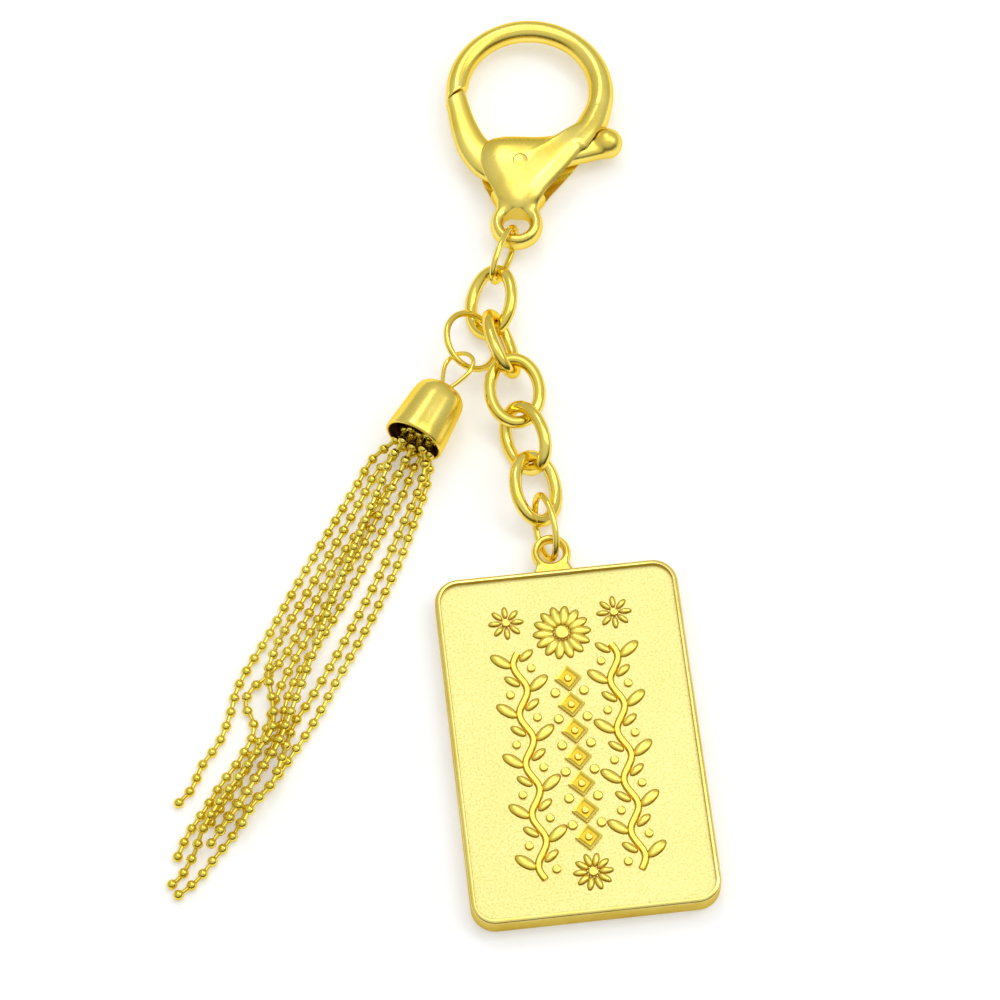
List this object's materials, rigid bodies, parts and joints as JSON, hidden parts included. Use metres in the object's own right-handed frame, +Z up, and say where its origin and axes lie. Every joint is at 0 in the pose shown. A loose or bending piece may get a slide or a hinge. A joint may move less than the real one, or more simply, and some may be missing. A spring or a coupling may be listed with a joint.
{
  "type": "amulet keychain",
  "caption": "Gold-coloured amulet plaque on a short oval-link chain with a sprung lobster clasp and a ball-chain tassel hung from the first link.",
  "frame": {"origin": "on the plaque's flat back, under the middle of the plate", "axes": "+Y along the plaque and chain towards the clasp, +Z up out of the decorated face, +X to the right of both"},
  "size_m": [0.0806, 0.1496, 0.0094],
  "materials": {
    "gold_polished": "polished gold plating",
    "gold_satin": "satin gold plating with a fine stipple on the plaque's field",
    "gold_beads": "polished gold-plated ball chain",
    "spring_steel": "bright steel wire"
  },
  "bodies": {
    "clasp": {"clasp_body": "gold_polished", "clasp_pivot_pin": "gold_polished", "clasp_spring": "spring_steel"},
    "lever": {"clasp_lever": "gold_satin"},
    "top_link": {"top_jump_link": "gold_polished"},
    "link_1": {"chain_link_1": "gold_polished"},
    "link_2": {"chain_link_2": "gold_polished"},
    "link_3": {"chain_link_3": "gold_polished"},
    "link_4": {"chain_link_4": "gold_polished"},
    "link_5": {"chain_link_5": "gold_polished"},
    "bottom_link": {"bottom_jump_link": "gold_polished"},
    "plaque": {"amulet_plaque": "gold_satin"},
    "ring": {"tassel_ring": "gold_polished"},
    "tassel": {"tassel_eye_wire": "gold_polished", "tassel_cap": "gold_polished", "tassel_strand_1": "gold_beads", "tassel_strand_2": "gold_beads", "tassel_strand_3": "gold_beads", "tassel_strand_4": "gold_beads", "tassel_strand_5": "gold_beads", "tassel_strand_6": "gold_beads", "tassel_strand_7": "gold_beads", "tassel_strand_8": "gold_beads"}
  },
  "joints": [
    {"name": "lever_pivot", "type": "hinge", "parent": "clasp", "child": "lever", "pos_m": [0.00297, 0.09562, 0.00335], "axis": [0, 0, -1], "range_deg": [0, 26], "stiffness_Nm_per_rad": 0.03, "springref_deg": -22.92, "deforming": ["clasp_spring"]},
    {"name": "top_link_swing", "type": "hinge", "parent": "clasp", "child": "top_link", "pos_m": [0.0012, 0.0854, 0.00335], "axis": [0, 0, 1], "range_deg": [-30, 30]},
    {"name": "link_1_swing", "type": "hinge", "parent": "top_link", "child": "link_1", "pos_m": [-0.0035, 0.0769, 0.003], "axis": [0, 0, 1], "range_deg": [-15, 15]},
    {"name": "link_2_swing", "type": "hinge", "parent": "link_1", "child": "link_2", "pos_m": [-0.0038, 0.0698, 0.003], "axis": [0, 0, 1], "range_deg": [-4, 15]},
    {"name": "link_3_swing", "type": "hinge", "parent": "link_2", "child": "link_3", "pos_m": [-0.0025, 0.0593, 0.003], "axis": [0, 0, 1], "range_deg": [-4, 15]},
    {"name": "link_4_swing", "type": "hinge", "parent": "link_3", "child": "link_4", "pos_m": [-0.0026, 0.0549, 0.003], "axis": [0, 0, 1], "range_deg": [-4, 15]},
    {"name": "link_5_swing", "type": "hinge", "parent": "link_4", "child": "link_5", "pos_m": [-0.0013, 0.0441, 0.003], "axis": [0, 0, 1], "range_deg": [-4, 15]},
    {"name": "bottom_link_swing", "type": "hinge", "parent": "link_5", "child": "bottom_link", "pos_m": [-0.0007, 0.0366, 0.003], "axis": [0, 0, 1], "range_deg": [-4, 15]},
    {"name": "plaque_swing", "type": "hinge", "parent": "bottom_link", "child": "plaque", "pos_m": [0.0001, 0.0298, 0.003], "axis": [0, 0, 1], "range_deg": [-8, 20]},
    {"name": "ring_swing", "type": "hinge", "parent": "link_1", "child": "ring", "pos_m": [-0.006, 0.0692, 0.003], "axis": [0, 0, 1], "range_deg": [-18, 6]},
    {"name": "tassel_swing", "type": "hinge", "parent": "ring", "child": "tassel", "pos_m": [-0.0104, 0.0622, 0.004], "axis": [0, 0, 1], "range_deg": [-20, 8]}
  ]
}
